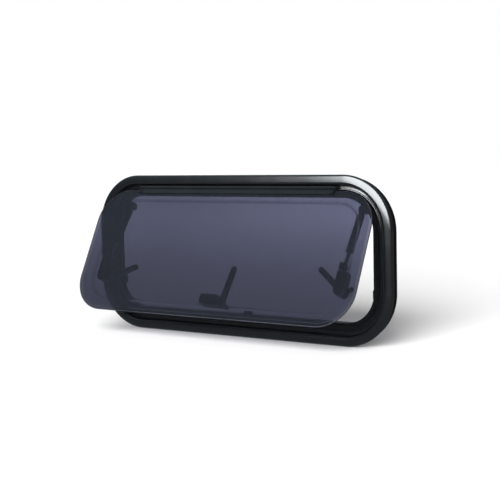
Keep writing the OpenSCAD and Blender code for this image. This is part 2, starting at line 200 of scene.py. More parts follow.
def turnProfile(profile, steps):
    # profile is (radius, height), turned round the z axis
    points = [
        (r * math.cos(2 * math.pi * s / steps), r * math.sin(2 * math.pi * s / steps), z)
        for r, z in profile for s in range(steps)
    ]
    faces = []
    for p in range(len(profile) - 1):
        for s in range(steps):
            t = (s + 1) % steps
            faces.append((p * steps + s, p * steps + t, (p + 1) * steps + t, (p + 1) * steps + s))
    if profile[0][0] > 0 and profile[0] != profile[-1]:
        faces.append(tuple(range(steps)))
    if profile[-1][0] > 0 and profile[0] != profile[-1]:
        faces.append(tuple(range(len(points) - steps, len(points))))
    return points, faces


# where things are, from the same named sizes as the solids
window = dict(
    width=740, height=340, cornerRadius=110, flangeWidth=20, rimWidth=46.5,
    wall=19, clamp=2.5, openAngle=27.2, hingeOut=7, hingeDrop=26.1,
)
middleUp = window["height"] / 2 - window["flangeWidth"] / 2
axisUp = window["height"] / 2 - window["hingeDrop"]
openWidth = window["width"] - 2 * window["rimWidth"]
openHeight = window["height"] - 2 * window["rimWidth"]
openRadius = window["cornerRadius"] - window["rimWidth"]
backFace = window["wall"] + window["clamp"]
leanSin = math.sin(math.radians(window["openAngle"]))
leanCos = math.cos(math.radians(window["openAngle"]))

# x along the window, y up, z outwards, from the middle of the frame
onFrame = Matrix(((1, 0, 0, 0), (0, 0, -1, 0), (0, 1, 0, middleUp * millimetre), (0, 0, 0, 1)))
# the same for the sash, from the hinge axis
onSash = Matrix((
    (1, 0, 0, 0),
    (0, leanSin, -leanCos, -window["hingeOut"] * millimetre),
    (0, leanCos, leanSin, (middleUp + axisUp) * millimetre),
    (0, 0, 0, 1),
))


def atPoint(base, x, y, z, turn=0, axis="Z", mirrorDepth=False):
    place = base @ Matrix.Translation(Vector((x, y, z)) * millimetre)
    if mirrorDepth:
        place = place @ Matrix.Diagonal((1, 1, -1, 1))
    return place @ Matrix.Rotation(math.radians(turn), 4, axis)


jointSizes = dict(halfWidth=0.5, below=50, depth=4.0, shade="#050506")


def buttJoint(tree, place, jointAt, colourOut, height):
    # the extrusion is one bent bar: its two ends meet in a fine butt joint in the lower member
    apart = addNode(tree, "ShaderNodeSeparateXYZ", links={"Vector": place})
    offset = addNode(tree, "ShaderNodeMath", {"operation": "SUBTRACT", 1: jointAt * millimetre},
                     {0: apart.outputs["X"]})
    away = addNode(tree, "ShaderNodeMath", {"operation": "ABSOLUTE"}, {0: offset.outputs[0]})
    reach = jointSizes["halfWidth"] * millimetre
    near = addNode(tree, "ShaderNodeMath", {"operation": "LESS_THAN", 1: reach}, {0: away.outputs[0]})
    low = addNode(tree, "ShaderNodeMath", {"operation": "LESS_THAN", 1: jointSizes["below"] * millimetre},
                  {0: apart.outputs["Z"]})
    both = addNode(tree, "ShaderNodeMath", {"operation": "MULTIPLY"}, {0: near.outputs[0], 1: low.outputs[0]})
    mix = addNode(tree, "ShaderNodeMix", {"data_type": "RGBA", 7: linearColour(jointSizes["shade"])},
                  {0: both.outputs[0], 6: colourOut})
    groove = addNode(tree, "ShaderNodeMath", {"operation": "MULTIPLY_ADD", 1: -jointSizes["depth"]},
                     {0: both.outputs[0], 2: height})
    return mix.outputs[2], groove.outputs[0]


def powderCoatedAluminium(name, colour, roughness, jointAt=None):
    # polyester powder, sprayed and oven cured: an even satin skin that carries broad soft highlights
    material, tree, shader = startMaterial(name, IOR=1.5, Roughness=roughness)
    place = addNode(tree, "ShaderNodeTexCoord").outputs["Object"]
    peelSize = 2.2  # mm between the low swellings of the cured film
    driftSize = 60  # mm between heavier and lighter passes of the spray
    peel = addNode(tree, "ShaderNodeTexNoise", {"Scale": 1000 / peelSize, "Detail": 2.0}, {"Vector": place})
    haze = addNode(tree, "ShaderNodeTexNoise", {"Scale": 1000 / driftSize, "Detail": 3.0}, {"Vector": place})
    tone = addNode(tree, "ShaderNodeValToRGB", links={"Fac": haze.outputs["Fac"]})
    for element, spot, shade in zip(tone.color_ramp.elements, (0.3, 0.75), colour):
        element.position = spot
        element.color = linearColour(shade)
    gloss = addNode(tree, "ShaderNodeMapRange", {
        "From Min": 0.3, "From Max": 0.7, "To Min": roughness - 0.02, "To Max": roughness + 0.03,
    }, {"Value": haze.outputs["Fac"]})
    tree.links.new(gloss.outputs["Result"], shader.inputs["Roughness"])
    colourOut, height = tone.outputs["Color"], peel.outputs["Fac"]
    if jointAt is not None:
        colourOut, height = buttJoint(tree, place, jointAt, colourOut, height)
    bump = addNode(tree, "ShaderNodeBump", {"Strength": 0.25, "Distance": 0.06 * millimetre},
                   {"Height": height})
    tree.links.new(colourOut, shader.inputs["Base Color"])
    tree.links.new(bump.outputs["Normal"], shader.inputs["Normal"])
    return material


def mouldedPlastic(name, colour, roughness, grainSize, grainDepth):
    # injection moulded in a spark-eroded tool: a fine even grain that keeps highlights dull and broken
    material, tree, shader = startMaterial(name, IOR=1.53, Roughness=roughness)
    place = addNode(tree, "ShaderNodeTexCoord").outputs["Object"]
    flowSize = 25  # mm across the melt's faint flow marks
    grain = addNode(tree, "ShaderNodeTexNoise", {"Scale": 1000 / grainSize, "Detail": 3.0}, {"Vector": place})
    flow = addNode(tree, "ShaderNodeTexNoise", {"Scale": 1000 / flowSize, "Detail": 2.0}, {"Vector": place})
    tone = addNode(tree, "ShaderNodeValToRGB", links={"Fac": flow.outputs["Fac"]})
    for element, spot, shade in zip(tone.color_ramp.elements, (0.35, 0.7), colour):
        element.position = spot
        element.color = linearColour(shade)
    gloss = addNode(tree, "ShaderNodeMapRange", {
        "From Min": 0.3, "From Max": 0.7, "To Min": roughness - 0.04, "To Max": roughness + 0.05,
    }, {"Value": grain.outputs["Fac"]})
    bump = addNode(tree, "ShaderNodeBump", {"Strength": 0.4, "Distance": grainDepth * millimetre},
                   {"Height": grain.outputs["Fac"]})
    tree.links.new(tone.outputs["Color"], shader.inputs["Base Color"])
    tree.links.new(gloss.outputs["Result"], shader.inputs["Roughness"])
    tree.links.new(bump.outputs["Normal"], shader.inputs["Normal"])
    return material


def extrudedRubber(name, colour):
    # EPDM pushed through a die and cured: matt, dusty in patches, with a faintly uneven skin
    material, tree, shader = startMaterial(name, IOR=1.48, Roughness=0.62)
    place = addNode(tree, "ShaderNodeTexCoord").outputs["Object"]
    bloomSize = 18  # mm across the patches of pale bloom
    skinSize = 0.9  # mm, coarser than the real skin so that it shows
    dust = addNode(tree, "ShaderNodeTexNoise", {"Scale": 1000 / bloomSize, "Detail": 4.0}, {"Vector": place})
    skin = addNode(tree, "ShaderNodeTexNoise", {"Scale": 1000 / skinSize, "Detail": 2.0}, {"Vector": place})
    tone = addNode(tree, "ShaderNodeValToRGB", links={"Fac": dust.outputs["Fac"]})
    for element, spot, shade in zip(tone.color_ramp.elements, (0.35, 0.8), colour):
        element.position = spot
        element.color = linearColour(shade)
    bump = addNode(tree, "ShaderNodeBump", {"Strength": 0.35, "Distance": 0.08 * millimetre},
                   {"Height": skin.outputs["Fac"]})
    tree.links.new(tone.outputs["Color"], shader.inputs["Base Color"])
    tree.links.new(bump.outputs["Normal"], shader.inputs["Normal"])
    return material


def castAcrylic(name, colour, waveDepth, bend=1.49, skin=0.0, haze=0.0):
    # acrylic sheet cast between glass: clear right through, with the long soft waves of a plastic pane
    material, tree, shader = startMaterial(
        name, IOR=bend, Coat_Weight=skin, Coat_IOR=1.49, Coat_Roughness=0.0, Roughness=haze,
        Transmission_Weight=1.0, Base_Color=linearColour(colour),
    )
    place = addNode(tree, "ShaderNodeTexCoord").outputs["Object"]
    waveSize = 120  # mm from crest to crest
    wave = addNode(tree, "ShaderNodeTexNoise", {"Scale": 1000 / waveSize, "Detail": 1.0}, {"Vector": place})
    bump = addNode(tree, "ShaderNodeBump", {"Strength": 1.0, "Distance": waveDepth * millimetre},
                   {"Height": wave.outputs["Fac"]})
    tree.links.new(bump.outputs["Normal"], shader.inputs["Normal"])
    return material


def drawnMetal(name, colour, roughness):
    # bar drawn through a die, then anodised or plated: a fine unevenness that breaks up the highlight
    material, tree, shader = startMaterial(name, Metallic=1.0, Roughness=roughness)
    place = addNode(tree, "ShaderNodeTexCoord").outputs["Object"]
    drawSize = 1.5  # mm, coarser than the real die marks so that they show
    lines = addNode(tree, "ShaderNodeTexNoise", {"Scale": 1000 / drawSize, "Detail": 2.0}, {"Vector": place})
    tone = addNode(tree, "ShaderNodeValToRGB", links={"Fac": lines.outputs["Fac"]})
    for element, shade in zip(tone.color_ramp.elements, colour):
        element.color = linearColour(shade)
    gloss = addNode(tree, "ShaderNodeMapRange", {"To Min": roughness - 0.05, "To Max": roughness + 0.08},
                    {"Value": lines.outputs["Fac"]})
    tree.links.new(tone.outputs["Color"], shader.inputs["Base Color"])
    tree.links.new(gloss.outputs["Result"], shader.inputs["Roughness"])
    return material


coatedAluminium = powderCoatedAluminium(
    "satinPowderCoatedAluminium", ("#101113", "#141517"), 0.2, jointAt=94)
coatedRail = powderCoatedAluminium("satinPowderCoatedRail", ("#1c2023", "#23282b"), 0.36)
coatedTube = powderCoatedAluminium("satinCoatedTube", ("#141517", "#191a1c"), 0.3)
sealRubber = extrudedRubber("extrudedEpdmRubber", ("#0e0f10", "#151617"))
grainedAbs = mouldedPlastic("finelyGrainedAbs", ("#1b1c1e", "#212225"), 0.5, 0.7, 0.03)
mouldedNylon = mouldedPlastic("mouldedBlackNylon", ("#111214", "#17181a"), 0.42, 0.9, 0.025)
# painted shade: a near-black finish for the slabs in the screws' cross recesses, in place of the shadow inside
# them
recessPaintedShade = mouldedPlastic("shadowedRecess", ("#060607", "#0a0a0b"), 0.7, 0.6, 0.01)
smokedAcrylic = castAcrylic("smokedCastAcrylic", "#77788d", 0.05)
# the formed sheet is thin, so it hardly shifts what lies behind and mostly shines; its bends look deeper
formedAcrylic = castAcrylic("formedClearAcrylic", "#d8d8e8", 0.08, bend=1.06, skin=1.0)
bentAcrylic = castAcrylic("acrylicInTheBend", "#a6a6bd", 0.0, bend=1.06, skin=1.0)
routedAcrylic = castAcrylic("routedAcrylicEdge", "#a4a6b6", 0.0, haze=0.45)
rodAluminium = drawnMetal("drawnAnodisedAluminium", ("#6c6f73", "#8d9094"), 0.3)
screwSteel = drawnMetal("zincPlatedSteel", ("#85878a", "#a3a5a8"), 0.35)

# each finish is a material with the slot it goes by
frameFinish = (coatedAluminium, "coated_frame")
railFinish = (coatedRail, "coated_rail")
tubeFinish = (coatedTube, "moulded_black")
sealFinish = (sealRubber, "seal_rubber")
clampFinish = (grainedAbs, "clamp_plastic")
nylonFinish = (mouldedNylon, "moulded_black")
recessPaintedShadeFinish = (recessPaintedShade, "moulded_black")
outerFinish = (smokedAcrylic, "tinted_acrylic")
innerFinish = (formedAcrylic, "tinted_acrylic_inner")
rodFinish = (rodAluminium, "stay_rod_metal")
screwFinish = (screwSteel, "stay_rod_metal")
pinFinish = (mouldedNylon, "stay_rod_metal")  # nylon moulded round a metal pin
print("finishes ready")


# outer frame: one extrusion bent round, a domed crown with a recess inside it
frameSizes = dict(
    crown=9.5, edge=1.8, skin=1.6, lap=0.6, recess=4, reach=12, ribAt=29.5, ribWidth=4, ribHeight=2.5,
    # share of the crown's rise, from the outer edge to the inner: steep, a long gentle slope, then the lip
    lifts=(0, 0.47, 0.66, 0.78, 0.86, 0.925, 0.97, 1, 0.94, 0.68, 0.16),
)


def smoothAlong(values, t):
    # a smooth curve through evenly spaced values
    spot = t * (len(values) - 1)
    k = min(int(spot), len(values) - 2)
    f = spot - k
    a = values[k - 1] if k else 2 * values[0] - values[1]
    b, c = values[k], values[k + 1]
    d = values[k + 2] if k + 2 < len(values) else 2 * c - b
    return b + 0.5 * f * (c - a + f * (2 * a - 5 * b + 4 * c - d + f * (3 * (b - c) + d - a)))


def crownSection():
    count = 40  # steps across the crown
    flange, edge, lap = window["flangeWidth"], frameSizes["edge"], frameSizes["lap"]
    span = flange + frameSizes["skin"]
    rise = frameSizes["crown"] - edge
    curve = [(0.0, edge - 0.5), (0.12, edge + 0.1)]
    for k in range(1, count + 1):
        t = k / count
        curve.append((span * t, edge + rise * smoothAlong(frameSizes["lifts"], t)))
    return [(0.35, 0.0), (0.0, 0.4)] + curve + [(span, lap), (flange, lap), (flange, 0.0)]


def collarSection():
    floor, skin, rim = -frameSizes["recess"], frameSizes["skin"], window["rimWidth"]
    flange, reach, lap = window["flangeWidth"], frameSizes["reach"], frameSizes["lap"] - 0.02
    left = frameSizes["ribAt"] - frameSizes["ribWidth"] / 2
    right = frameSizes["ribAt"] + frameSizes["ribWidth"] / 2
    top = floor + frameSizes["ribHeight"]
    bead = [
        (left - 0.5, floor), (left - 0.1, floor + 0.15), (left + 0.15, floor + 0.6),
        (left + 0.35, top - 0.75), (left + 0.7, top - 0.28), (left + 1.3, top - 0.05),
        ((left + right) / 2, top),
        (right - 1.3, top - 0.05), (right - 0.7, top - 0.28), (right - 0.35, top - 0.75),
        (right - 0.15, floor + 0.6), (right + 0.1, floor + 0.15), (right + 0.5, floor),
    ]
    return [
        (flange + 0.02, lap), (flange + skin, lap), (flange + skin, floor + 0.5),
        (flange + skin + 0.5, floor),
    ] + bead + [
        (rim - skin - 0.4, floor), (rim - skin, floor + 0.4), (rim - skin + 0.3, floor + 1),
        (rim - 0.4, floor + 1), (rim, floor + 0.6), (rim, -reach + 0.3), (rim - 0.3, -reach),
        (rim - skin, -reach), (rim - skin, floor - skin), (flange + skin, floor - skin),
        (flange + skin, -reach), (flange, -reach),
    ]


def sweptRing(name, section, finish, body, steps=28):
    rings = insetRings(window["width"], window["height"], window["cornerRadius"], section)
    return placeMesh(name, loftRings(rings, steps, closed=True), finish, body, onFrame)


crown = sweptRing("outerFrameCrown", crownSection(), frameFinish, "frame", steps=40)
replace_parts(crown, "outer_frame")
collar = sweptRing("frameCollar", collarSection(), frameFinish, "frame")
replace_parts(collar, "collar_bars", "collar_end_left", "collar_end_right")
print("outer frame swept")


# seal: a foot and a hollow bulb that the closed sash presses on
sealSizes = dict(width=9, gap=1, foot=1.4, bulb=2.1, clear=0.2, paneStack=5.5)
sealInner = window["rimWidth"] - frameSizes["skin"] - sealSizes["clear"]
sealOuter = sealInner - sealSizes["width"]
sealTop = window["hingeOut"] - sealSizes["paneStack"] - sealSizes["gap"]


def sealSection():
    floor, middle, bulb = -frameSizes["recess"] + 0.02, (sealInner + sealOuter) / 2, sealSizes["bulb"]
    foot = floor + sealSizes["foot"]
    return [
        (sealOuter, floor), (sealOuter, foot - 0.5), (sealOuter + 0.5, foot), (middle - bulb - 0.9, foot),
    ] + arcPoints(bulb, 205, -25, 14, middle, sealTop - bulb) + [
        (middle + bulb + 0.9, foot), (sealInner - 0.5, foot), (sealInner, foot - 0.5), (sealInner, floor),
    ]


seal = sweptRing("frameSeal", sealSection(), sealFinish, "frame")
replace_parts(seal, "frame_seal")
print("seal laid")


# clamp frame on the inside of the wall, drawn up by screws
clampSizes = dict(
    width=42, skin=1.6, gap=0.3, screwInset=16, screwHead=6.4, screwRise=1.8,
    screwColumns=(-210, -70, 70, 210), screwRows=(-30, 30), screwSeat=0.1, screwTurn=31,
)


def clampSection():
    wall, back = -window["wall"], -backFace
    outer, inner = window["rimWidth"] - clampSizes["width"], window["rimWidth"] - clampSizes["skin"]
    return [
        (outer, wall - 0.02), (inner, wall - 0.02), (inner, back),
        (outer + 5.4, back), (outer + 4.8, back + 0.35), (outer + 4.2, back), (outer + 1.2, back),
        (outer + 0.35, back + 0.35), (outer, back + 1.2),
    ]


def liningSection():
    rim, skin = window["rimWidth"], clampSizes["skin"]
    front = -frameSizes["reach"] - clampSizes["gap"]
    return [
        (rim - skin + 0.02, -backFace), (rim - skin + 0.02, front - 0.3), (rim - skin + 0.3, front),
        (rim - 0.3, front), (rim, front - 0.3), (rim, -backFace + 1.0), (rim - 0.3, -backFace + 0.3),
        (rim - 1.0, -backFace),
    ]


def panHeadScrew(name, matrix, body, head, rise):
    # a low domed head; its cross recess is two crossing near-black slabs set into the dome, painted shade in
    # place of a cut
    turns = [math.radians(a) for a in range(15, 91, 15)]
    dome = [(0.0, rise)] + [(head / 2 * math.sin(t), rise * (0.25 + 0.75 * math.cos(t))) for t in turns]
    dome += [(head / 2, 0.0), (0.0, 0.0)]
    pieces = [placeMesh(name, turnProfile(dome, 28), screwFinish, body, matrix)]
    slot = extrudeOutline([(-1.6, -0.38), (1.6, -0.38), (1.6, 0.38), (-1.6, 0.38)], rise - 0.15, rise + 0.03)
    for turn in (0, 90):
        pieces.append(placeMesh(name + "Slot", slot, recessPaintedShadeFinish, body, atPoint(matrix, 0, 0, 0, turn)))
    return joinPieces(name, pieces)


def screwSpots():
    outX = window["width"] / 2 - clampSizes["screwInset"]
    outY = window["height"] / 2 - clampSizes["screwInset"]
    spots = []
    for x in clampSizes["screwColumns"]:
        spots += [(x, outY), (x, -outY)]
    # one more half way round each corner
    corner = window["cornerRadius"]
    diagonal = (corner - clampSizes["screwInset"]) * math.sqrt(0.5) - corner
    cornerSpot = window["width"] / 2 + diagonal, window["height"] / 2 + diagonal
    for side in (-1, 1):
        spots += [(side * outX, y) for y in clampSizes["screwRows"]]
        spots += [(side * cornerSpot[0], up * cornerSpot[1]) for up in (-1, 1)]
    return spots


clampFrame = sweptRing("innerClampFrame", clampSection(), clampFinish, "frame")
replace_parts(clampFrame, "clamp_bars", "clamp_end_left", "clamp_end_right")
lining = sweptRing("clampFrameLining", liningSection(), clampFinish, "frame")
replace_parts(lining, "lining_bars", "lining_end_left", "lining_end_right")
clampScrews = []
for number, (x, y) in enumerate(screwSpots()):
    place = atPoint(onFrame, x, y, -backFace + clampSizes["screwSeat"], clampSizes["screwTurn"] * number)
    place = place @ Matrix.Rotation(math.pi, 4, "X")
    clampScrews.append(panHeadScrew(
        f"clampScrew{number}", place, "frame", clampSizes["screwHead"], clampSizes["screwRise"]))
joinPieces("clampScrews", clampScrews)
print("clamp frame and", len(clampScrews), "screws placed")


# sash: a flat smoked outer pane with a formed inner pane bonded behind it
sashSizes = dict(
    side=25.8, bottom=28.6, top=6, radius=75, outerThick=3.5, innerThick=2, depth=12,
    trayGap=5.2, flangeInset=8, draft=3, formRadius=4.5, edge=0.55, flatStrip=1.5,
)
paneWidth = window["width"] - 2 * sashSizes["side"]
paneHeight = axisUp - sashSizes["top"] + window["height"] / 2 - sashSizes["bottom"]
paneMiddle = -sashSizes["top"] - paneHeight / 2
trayTop = axisUp - openHeight / 2 + sashSizes["trayGap"]
trayBottom = axisUp + openHeight / 2 - sashSizes["trayGap"]
trayWidth = openWidth - 2 * sashSizes["trayGap"]
trayHeight = trayBottom - trayTop
trayMiddle = -(trayTop + trayBottom) / 2
trayRadius = openRadius - sashSizes["trayGap"]
flangeBack = -sashSizes["outerThick"] - sashSizes["innerThick"]


def dressFaces(piece, material, low, high):
    # a second finish on the faces that lean so far from the pane's own plane
    piece.data.materials.append(material)
    outwards = onSash.to_3x3().col[2]
    for face in piece.data.polygons:
        face.material_index = 1 if low <= abs(face.normal.dot(outwards)) <= high else 0


def outerPane():
    thick, edge = sashSizes["outerThick"], sashSizes["edge"]
    strip = edge + sashSizes["flatStrip"]
    section = [
        (strip, 0.0), (edge, 0.0), (edge * 0.3, -edge * 0.3), (0.0, -edge),
        (0.0, -thick + edge), (edge * 0.3, -thick + edge * 0.3), (edge, -thick), (strip, -thick),
    ]
    rings = insetRings(paneWidth, paneHeight, sashSizes["radius"], section, paneMiddle)
    shape = loftRings(rings, 40, capStart=True, capEnd=True)
    piece = placeMesh("outerPane", shape, outerFinish, "sash", onSash, sharpAngle=60)
    dressFaces(piece, routedAcrylic, 0.0, 0.95)
    evenShading(piece)
    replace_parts(piece, "outer_pane")


def trayRing(inward, depth):
    return (trayWidth - 2 * inward, trayHeight - 2 * inward, trayRadius - inward, trayMiddle, depth)


def flangeRing(inward, depth):
    inset = sashSizes["flangeInset"] + inward
    return (paneWidth - 2 * inset, paneHeight - 2 * inset, sashSizes["radius"] - inset, paneMiddle, depth)


def innerPane():
    # drawn over a form: the wall leaves the flange and reaches the floor in round bends
    thick, depth, form = sashSizes["innerThick"], sashSizes["depth"], sashSizes["formRadius"]
    foot = sashSizes["draft"] + form
    front, back = -sashSizes["outerThick"] - 0.1, flangeBack
    # a flat strip inside the bend keeps the floor's shading flat
    outside = [trayRing(foot + sashSizes["flatStrip"], -depth)]
    inside = [trayRing(foot + thick + sashSizes["flatStrip"], -depth + thick)]
    for k in range(7):
        turn = math.radians(15 * k)
        inward = foot - form * math.sin(turn)
        outside.append(trayRing(inward, -depth + form * (1 - math.cos(turn))))
        inside.append(trayRing(inward + thick, -depth + thick + (form - thick) * (1 - math.cos(turn))))
    outside += [trayRing(0.3, back - 0.7), trayRing(0.05, back - 0.15), trayRing(-0.6, back)]
    inside += [trayRing(thick + 0.6, front - 1.2), trayRing(thick, front - 0.4), trayRing(thick - 0.8, front)]
    lip = [(0.3, front), (0.0, front - 0.3), (0.0, back + 0.3), (0.3, back)]
    lip = [flangeRing(*spot) for spot in lip]
    shape = loftRings(inside + lip + outside[::-1], 36, capStart=True, capEnd=True)
    piece = placeMesh("innerPane", shape, innerFinish, "sash", onSash, sharpAngle=60)
    dressFaces(piece, bentAcrylic, 0.5, 0.88)
    evenShading(piece)
    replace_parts(piece, "inner_pane")


outerPane()
innerPane()
print("sash panes formed")


# hinge: a socket rail along the frame's top and a beaded rail on the sash
hingeSizes = dict(
    end=123, bead=5, gap=0.3, socket=1.4, leg=1.3, grip=8, cap=9, paneGap=0.2, beadTurn=159, capEdge=0.4,
)
hingeLength = window["width"] - 2 * hingeSizes["end"]
alongX = Matrix(((0, 0, 1, 0), (1, 0, 0, 0), (0, 1, 0, 0), (0, 0, 0, 1)))  # section x up, section y outwards
handOf = {1: "right", -1: "left"}


def bar(name, outline, low, high, finish, body, base):
    return placeMesh(name, extrudeOutline(outline, low, high), finish, body, base @ alongX)


def hingeSocketRail():
    # a C that wraps the sash's bead, on a foot that stands in the recess
    inner = hingeSizes["bead"] / 2 + hingeSizes["gap"]
    outer = inner + hingeSizes["socket"]
    out, floor, half = window["hingeOut"], -frameSizes["recess"], hingeLength / 2
    lip = math.degrees(math.atan2(-6.5, -12))
    outline = [(outer - 0.02, out)] + arcPoints(outer, 0, 97, 16, y=out) + arcPoints(inner, 97, 0, 14, y=out)
    outline += arcPoints(inner, 0, lip, 18, y=out) + arcPoints(outer, lip, -50, 12, y=out)
    outline += [
        (outer - 1.6, out - 3.4), (outer - 1.6, floor + 1.9), (outer - 2.1, floor + 1.4), (-0.6, floor + 1.4),
        (-1, floor + 1), (-1, floor + 0.02), (outer, floor + 0.02),
    ]
    base = atPoint(onFrame, 0, axisUp, 0)
    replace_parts(bar("hingeSocketRail", outline, -half, half, railFinish, "frame", base), "hinge_socket_rail")


def sashHingeRail():
    # a bead on a neck, and two legs that grip the outer pane's top edge
    gap, leg, turn = hingeSizes["paneGap"], hingeSizes["leg"], hingeSizes["beadTurn"]
    back, inside = -sashSizes["top"] + gap, -sashSizes["outerThick"] - gap
    grip, middle = back - hingeSizes["grip"], back - hingeSizes["grip"] / 2
    outline = arcPoints(hingeSizes["bead"] / 2, -turn, turn, 28) + [
        (back + leg + 0.5, 0.9), (back + leg, 1.2), (back + leg - 0.35, gap + leg), (grip + 0.5, gap + leg),
        (grip, gap + leg - 0.5), (grip, gap), (back, gap), (back, inside), (middle, inside),
        (middle, inside - leg + 0.4), (middle + 0.4, inside - leg), (back + leg - 0.4, inside - leg),
        (back + leg, inside - leg + 0.4), (back + leg, -1.2), (back + leg + 0.5, -0.9),
    ]
    reach = hingeLength / 2 - hingeSizes["cap"]
    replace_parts(bar("sashHingeRail", outline, -reach, reach, railFinish, "sash", onSash), "sash_hinge_rail")


def hingeEndCap(side):
    top, turn = -sashSizes["top"] + 0.3, hingeSizes["beadTurn"]
    outline = arcPoints(hingeSizes["bead"] / 2, -turn, turn, 24) + [
        (-3.6, 0.9), (-3.9, 2.3), (top - 6.6, 2.3), (top - 7.3, 1.7), (top - 7.3, 0.3), (top, 0.3),
        (top, -0.9),
    ]
    middle, half = side * (hingeLength - hingeSizes["cap"]) / 2, hingeSizes["cap"] / 2 - 0.3
    name = "hingeEndCap" + handOf[side].capitalize()
    cap = bar(name, outline, middle - half, middle + half, nylonFinish, "sash", onSash)
    softenEdges(cap, hingeSizes["capEdge"], 2)
    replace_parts(cap, "hinge_end_cap_" + handOf[side])


hingeSocketRail()
sashHingeRail()
for side in (-1, 1):
    hingeEndCap(side)
print("hinge rails hung")


# keepers on the clamp frame's lining, each where its latch's tongue comes down
keeperSizes = dict(
    out=8, length=18, overlap=4, seat=0.25, foot=4, lipLow=1.5, footRound=1.2, lipRound=2.2, edge=0.7,
    screwApart=5.2, screwUp=5.4, sideUp=0.8,
)
latchSizes = dict(
    middleX=22, inset=25.5, aboveCorner=-1.1, lever=82, hubWidth=14, thick=7, hub=20, baseHeight=21,
    baseLength=39.5, baseWidth=21, tongue=22, tongueAngle=110, turnMiddle=63, turnLeft=46, turnRight=33,
    gap=0.5, tip=5.8, baseRound=6, plate=1.6, tongueThick=6,
)
latchDrop = axisUp + openHeight / 2 - openRadius - latchSizes["aboveCorner"]


def keeper(name, node, x, y, turn):
    # a foot on the lining and a taller lip that the tongue draws against
    half, seat = keeperSizes["length"] / 2, keeperSizes["seat"]
    front = frameSizes["reach"] + clampSizes["gap"]
    deep = backFace - front
    base = atPoint(onFrame, x, y, -front, turn, mirrorDepth=True)
    foot = extrudeOutline(tabOutline(half, seat, keeperSizes["foot"], keeperSizes["footRound"]), 0, deep)
    lip = extrudeOutline(
        tabOutline(half, seat, keeperSizes["out"], keeperSizes["lipRound"]), keeperSizes["lipLow"], deep)
    pieces = []
    for part in (foot, lip):
        pieces.append(softenEdges(placeMesh(name, part, nylonFinish, "frame", base), keeperSizes["edge"]))
    screw = turnProfile([(0, 0.5), (1.2, 0.45), (1.7, 0.2), (1.8, 0.0), (0, 0)], 20)
    for side in (-1, 1):
        spot = atPoint(base, side * keeperSizes["screwApart"], keeperSizes["screwUp"], deep - 0.2)
        pieces.append(placeMesh(name + "Screw", screw, screwFinish, "frame", spot))
    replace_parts(joinPieces(name, pieces), node)


keeperUp = axisUp - (latchDrop + keeperSizes["length"] / 2 - keeperSizes["overlap"]) + keeperSizes["sideUp"]
keeperMiddle = latchSizes["middleX"] - keeperSizes["length"] / 2 + keeperSizes["overlap"]
keeper("keeperLeft", "keeper_left", -openWidth / 2, keeperUp, -90)
keeper("keeperRight", "keeper_right", openWidth / 2, keeperUp, 90)
keeper("keeperCentre", "keeper_centre", keeperMiddle, -openHeight / 2, 0)
print("keepers fixed")


# stays: bracket and headed pin on the frame, tube with an eye, rod, shoe on the sash
staySizes = dict(
    inset=15.1, pinIn=20, pinDrop=44.9, aboveLatch=48, shoeIn=23, tube=15, shown=34.3, rod=7.6, pin=5,
    slack=3.8, offAcross=2.9, offAlong=1.1, eyeWall=2, eyeThick=6, gap=0.5, footThick=3, footHeight=34,
    head=4, rodInTube=40, edge=0.5, cheek=3, shoeHalf=7, shoeFoot=2,
)
pinUp = axisUp - staySizes["pinDrop"]
intoCorner = pinUp - openHeight / 2 + openRadius
cornerX = openWidth / 2 - openRadius + math.sqrt(openRadius ** 2 - intoCorner ** 2)
stayX = cornerX - staySizes["inset"]
eyeX = stayX + staySizes["eyeThick"] / 2 + staySizes["gap"]
shoeDrop = latchDrop - staySizes["aboveLatch"]
sashPin = (
    -window["hingeOut"] - shoeDrop * leanSin + staySizes["shoeIn"] * leanCos,
    axisUp - shoeDrop * leanCos - staySizes["shoeIn"] * leanSin,
)
run = (staySizes["pinIn"] - sashPin[0], pinUp - sashPin[1])
stayLength = math.hypot(*run) + staySizes["offAlong"]
stayTilt = math.degrees(math.atan2(-run[0], run[1]) + math.atan2(staySizes["offAcross"], stayLength))
pinRadius = staySizes["pin"] / 2
eyeRadius = pinRadius + staySizes["slack"] + staySizes["eyeWall"]
bossRadius = eyeRadius + 0.7
tangLength = bossRadius + staySizes["slack"] + 1
tubeLength = stayLength - staySizes["shown"]
shoeEye = pinRadius + 3
acrossX = Matrix.Rotation(math.radians(90), 4, "Y")


def stayBracket(side):
    # a moulded foot hugs the opening's rounded corner and carries a stepped boss for the pin
    front, corner = frameSizes["reach"] + clampSizes["gap"], openHeight / 2 - openRadius
    outer, inner = [], []
    for reach, nearest, line in (
            (openRadius - 0.25, eyeX + 0.02, outer), (openRadius - staySizes["footThick"], eyeX, inner)):
        for k in range(19):
            up = pinUp + staySizes["footHeight"] * (k / 18 - 0.5)
            bow = math.sqrt(reach ** 2 - (up - corner) ** 2) if up > corner else reach
            line.append((side * max(openWidth / 2 - openRadius + bow, nearest), up))
    shape = extrudeOutline(outer + inner[::-1], -backFace + 0.05, -front)
    foot = softenEdges(placeMesh("footPlate", shape, nylonFinish, "frame", onFrame), staySizes["edge"], 2)
    radius, reachX = bossRadius, cornerX - eyeX - 2.2
    boss = [
        (0, 0), (radius - 0.8, 0), (radius, 0.8), (radius, 2.2), (radius - 1.2, 3.2), (radius - 1.0, reachX),
        (0, reachX),
    ]
    place = atPoint(onFrame, side * eyeX, pinUp, -staySizes["pinIn"], 90 * side, "Y")
    hub = placeMesh("boss", turnProfile(boss, 40), nylonFinish, "frame", place)
    whole = joinPieces("stayBracket" + handOf[side].capitalize(), [foot, hub])
    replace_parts(whole, "stay_bracket_" + handOf[side])


